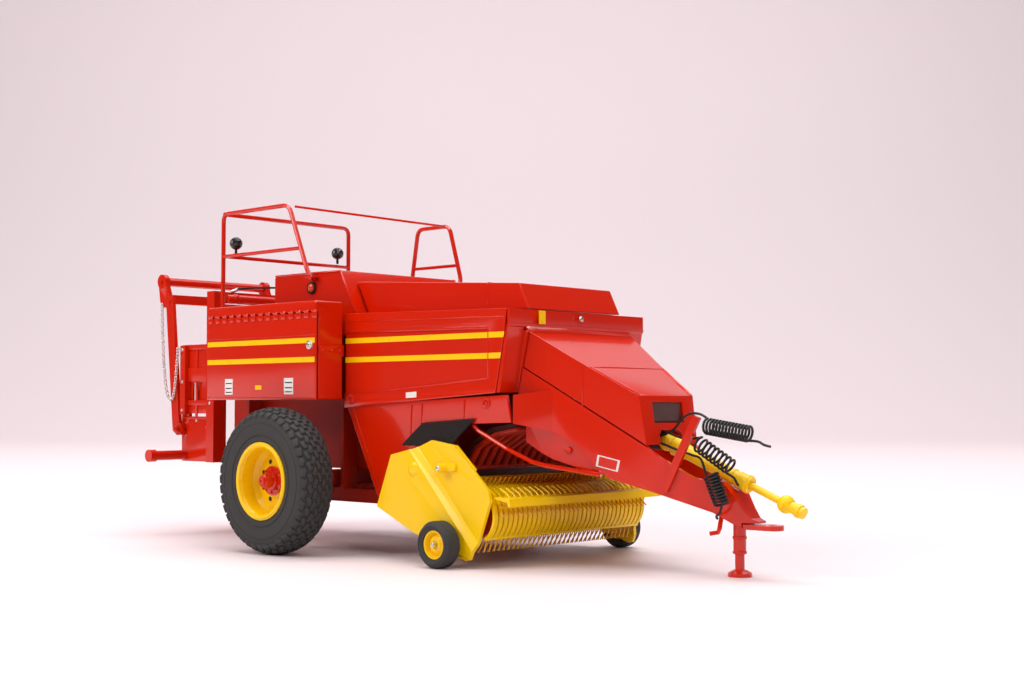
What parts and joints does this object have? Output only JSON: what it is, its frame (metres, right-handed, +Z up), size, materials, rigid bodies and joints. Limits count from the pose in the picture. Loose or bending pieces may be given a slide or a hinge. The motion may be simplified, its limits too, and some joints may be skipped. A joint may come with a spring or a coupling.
{
  "type": "scale model square baler",
  "caption": "Small display model of a towed big square baler with turning wheels, lifting pickup, fold-down bale chute, twine box doors, jack and drive shaft.",
  "frame": {"origin": "on the floor, at the middle of the model's length and width", "axes": "+X forward to the hitch, +Y to the machine's left, +Z up"},
  "size_m": [0.2242, 0.0936, 0.0971],
  "materials": {
    "red_paint": "gloss",
    "dark_red_paint": "satin",
    "yellow_paint": "gloss",
    "yellow_plastic": "satin",
    "black_plastic": "gloss",
    "black_rubber": "matte",
    "black_hose": "satin",
    "tyre_rubber": "matte",
    "smoked_window": "gloss"
  },
  "bodies": {
    "frame": {"chassis_frame": "red_paint", "axle_beam": "red_paint", "bale_chamber": "red_paint", "rear_frame": "red_paint", "knotter_cover": "red_paint", "top_hood": "red_paint", "front_cowl": "red_paint", "feed_intake": "dark_red_paint", "gearbox_hood": "red_paint", "hood_window": "smoked_window", "drawbar": "red_paint", "hose_bracket": "red_paint", "drawbar_crank": "red_paint", "hitch_plate": "red_paint", "shaft_yoke": "yellow_plastic", "guard_rail_rear": "red_paint", "guard_rail_left": "red_paint", "side_panel_right": "red_paint", "lower_panel_right": "red_paint", "twine_box_right": "red_paint", "work_light_right": "black_plastic", "pickup_flap_right": "black_rubber", "crop_rod_right": "red_paint", "side_panel_left": "red_paint", "lower_panel_left": "red_paint", "twine_box_left": "red_paint", "work_light_left": "black_plastic", "pickup_flap_left": "black_rubber", "crop_rod_left": "red_paint", "hose_lead_1": "black_hose", "hose_coil_1": "black_hose", "hose_tail_1": "black_hose", "hose_lead_2": "black_hose", "hose_coil_2": "black_hose", "hose_tail_2": "black_hose", "hose_lead_3": "black_hose", "hose_coil_3": "black_hose", "hose_tail_3": "black_hose"},
    "wheel_right": {"main_tyre_right": "tyre_rubber", "main_rim_right": "yellow_paint", "main_hub_right": "red_paint"},
    "wheel_left": {"main_tyre_left": "tyre_rubber", "main_rim_left": "yellow_paint", "main_hub_left": "red_paint"},
    "bale_chute": {"bale_chute": "red_paint"},
    "chute_roller": {"chute_roller": "red_paint"},
    "twine_door_right": {"twine_box_door_right": "red_paint"},
    "twine_door_left": {"twine_box_door_left": "red_paint"},
    "jack": {"jack_leg": "red_paint"},
    "shaft_outer": {"shaft_guard": "yellow_plastic"},
    "shaft_inner": {"shaft_slider": "yellow_plastic"},
    "pickup": {"pickup_side_right": "yellow_paint", "pickup_side_left": "yellow_paint", "pickup_strippers": "yellow_paint", "pickup_windguard": "yellow_paint"},
    "pickup_reel": {"pickup_reel": "dark_red_paint"},
    "gauge_wheel_right": {"gauge_tyre_right": "tyre_rubber", "gauge_rim_right": "yellow_paint"},
    "gauge_wheel_left": {"gauge_tyre_left": "tyre_rubber", "gauge_rim_left": "yellow_paint"}
  },
  "joints": [
    {"name": "main_wheel_right_spin", "type": "hinge", "parent": "frame", "child": "wheel_right", "pos_m": [-0.0246, -0.04155, 0.01944], "axis": [0, 1, 0], "continuous": true},
    {"name": "main_wheel_left_spin", "type": "hinge", "parent": "frame", "child": "wheel_left", "pos_m": [-0.0246, 0.04155, 0.01944], "axis": [0, 1, 0], "continuous": true},
    {"name": "chute_fold", "type": "hinge", "parent": "frame", "child": "bale_chute", "pos_m": [-0.1005, 0, 0.032], "axis": [0, -1, 0], "range_deg": [0, 90]},
    {"name": "chute_roller_spin", "type": "hinge", "parent": "bale_chute", "child": "chute_roller", "pos_m": [-0.1098, 0, 0.0786], "axis": [0, 1, 0], "continuous": true},
    {"name": "twine_door_right_hinge", "type": "hinge", "parent": "frame", "child": "twine_door_right", "pos_m": [-0.0389, -0.0365, 0.0642], "axis": [-1, 0, 0], "range_deg": [0, 100]},
    {"name": "twine_door_left_hinge", "type": "hinge", "parent": "frame", "child": "twine_door_left", "pos_m": [-0.0389, 0.0365, 0.0642], "axis": [1, 0, 0], "range_deg": [0, 100]},
    {"name": "jack_slide", "type": "slide", "parent": "frame", "child": "jack", "axis": [0, 0, 1], "range_m": [0, 0.0035]},
    {"name": "shaft_swing", "type": "hinge", "parent": "frame", "child": "shaft_outer", "pos_m": [0.074, 0, 0.0307], "axis": [0, -1, 0], "range_deg": [0, 14]},
    {"name": "shaft_extend", "type": "slide", "parent": "shaft_outer", "child": "shaft_inner", "axis": [0.9253, 0, -0.3794], "range_m": [0, 0.008]},
    {"name": "pickup_lift", "type": "hinge", "parent": "frame", "child": "pickup", "pos_m": [0.0168, 0, 0.0242], "axis": [0, -1, 0], "range_deg": [0, 9]},
    {"name": "pickup_reel_spin", "type": "hinge", "parent": "pickup", "child": "pickup_reel", "pos_m": [0.037, 0, 0.0126], "axis": [0, 1, 0], "continuous": true},
    {"name": "gauge_wheel_right_spin", "type": "hinge", "parent": "pickup", "child": "gauge_wheel_right", "pos_m": [0.0313, -0.0355, 0.00575], "axis": [0, 1, 0], "continuous": true},
    {"name": "gauge_wheel_left_spin", "type": "hinge", "parent": "pickup", "child": "gauge_wheel_left", "pos_m": [0.0313, 0.0355, 0.00575], "axis": [0, 1, 0], "continuous": true}
  ]
}
